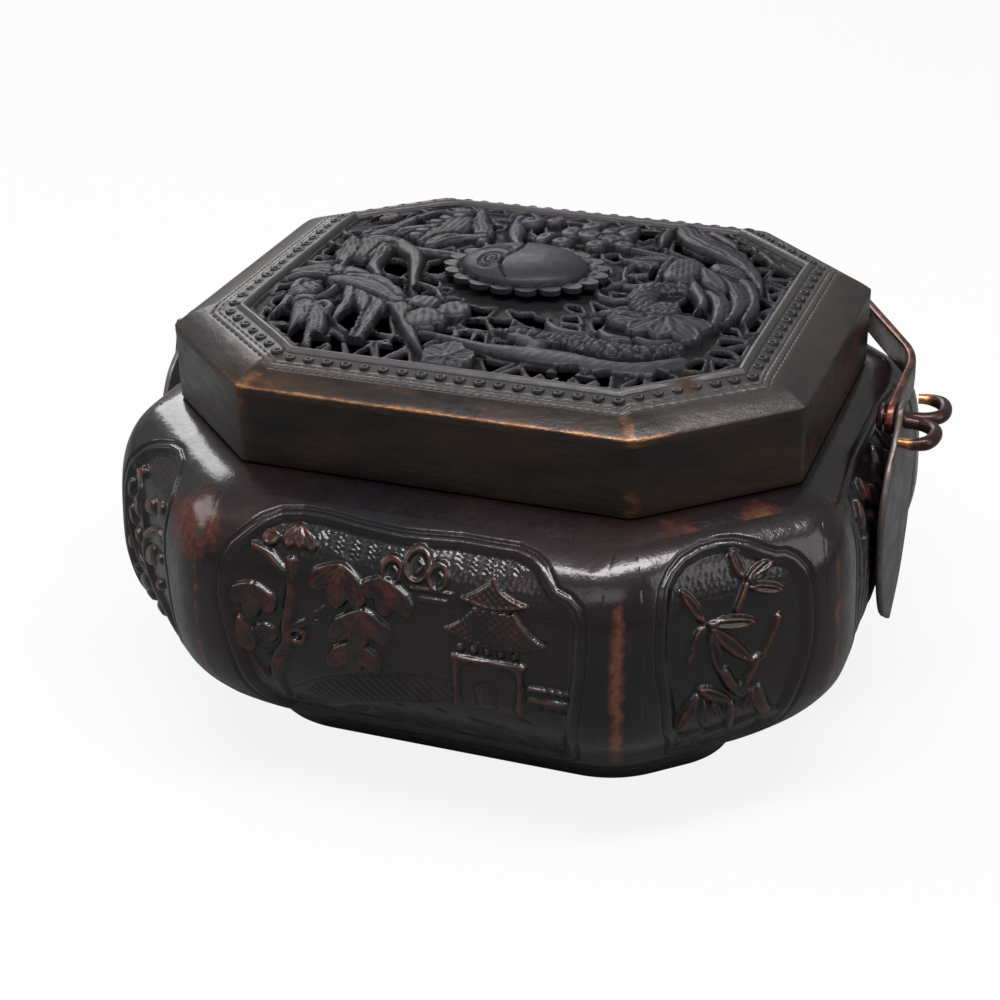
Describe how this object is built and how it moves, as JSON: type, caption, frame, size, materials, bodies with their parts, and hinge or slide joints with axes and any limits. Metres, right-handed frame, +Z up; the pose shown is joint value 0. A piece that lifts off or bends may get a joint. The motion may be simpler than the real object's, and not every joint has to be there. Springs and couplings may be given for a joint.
{
  "type": "incense burner",
  "caption": "Eight-sided bulged metal incense burner with a pierced lift-off lid and a swing handle between leaf-shaped end plates.",
  "frame": {"origin": "middle of the base, on the surface it stands on", "axes": "+Z up, +X along the long side to the end on the right in the picture, -Y to the side with the pagoda panel"},
  "size_m": [0.1501, 0.132, 0.081],
  "materials": {
    "pot": "dark purple-brown bronze patina, worn to copper on ridges and relief",
    "base": "dark bronze patina",
    "collar": "dark bronze patina",
    "lid_side": "olive-brown bronze patina, lighter at the edges",
    "lid_top": "satin grey-brown bronze",
    "boss": "satin grey-brown bronze, smoothed by handling",
    "handle": "red-brown copper, half gloss",
    "end_plate": "plain sheet bronze, satin",
    "pin": "red-brown copper wire, bright where worn"
  },
  "bodies": {
    "pot": {"body_shell": "pot", "base_plate": "base", "neck_collar": "collar", "end_plate_right": "end_plate", "end_plate_left": "end_plate", "split_pin_right": "pin", "split_pin_left": "pin"},
    "lid": {"lid_wall": "lid_side", "lid_panel": "lid_top", "lid_boss": "boss"},
    "handle": {"bail": "handle"}
  },
  "joints": [
    {"name": "handle_swing", "type": "hinge", "parent": "pot", "child": "handle", "pos_m": [0, 0, 0.0574], "axis": [1, 0, 0], "range_deg": [0, 178]},
    {"name": "lid_lift", "type": "slide", "parent": "pot", "child": "lid", "axis": [0, 0, 1], "range_m": [0, 0.1]}
  ]
}
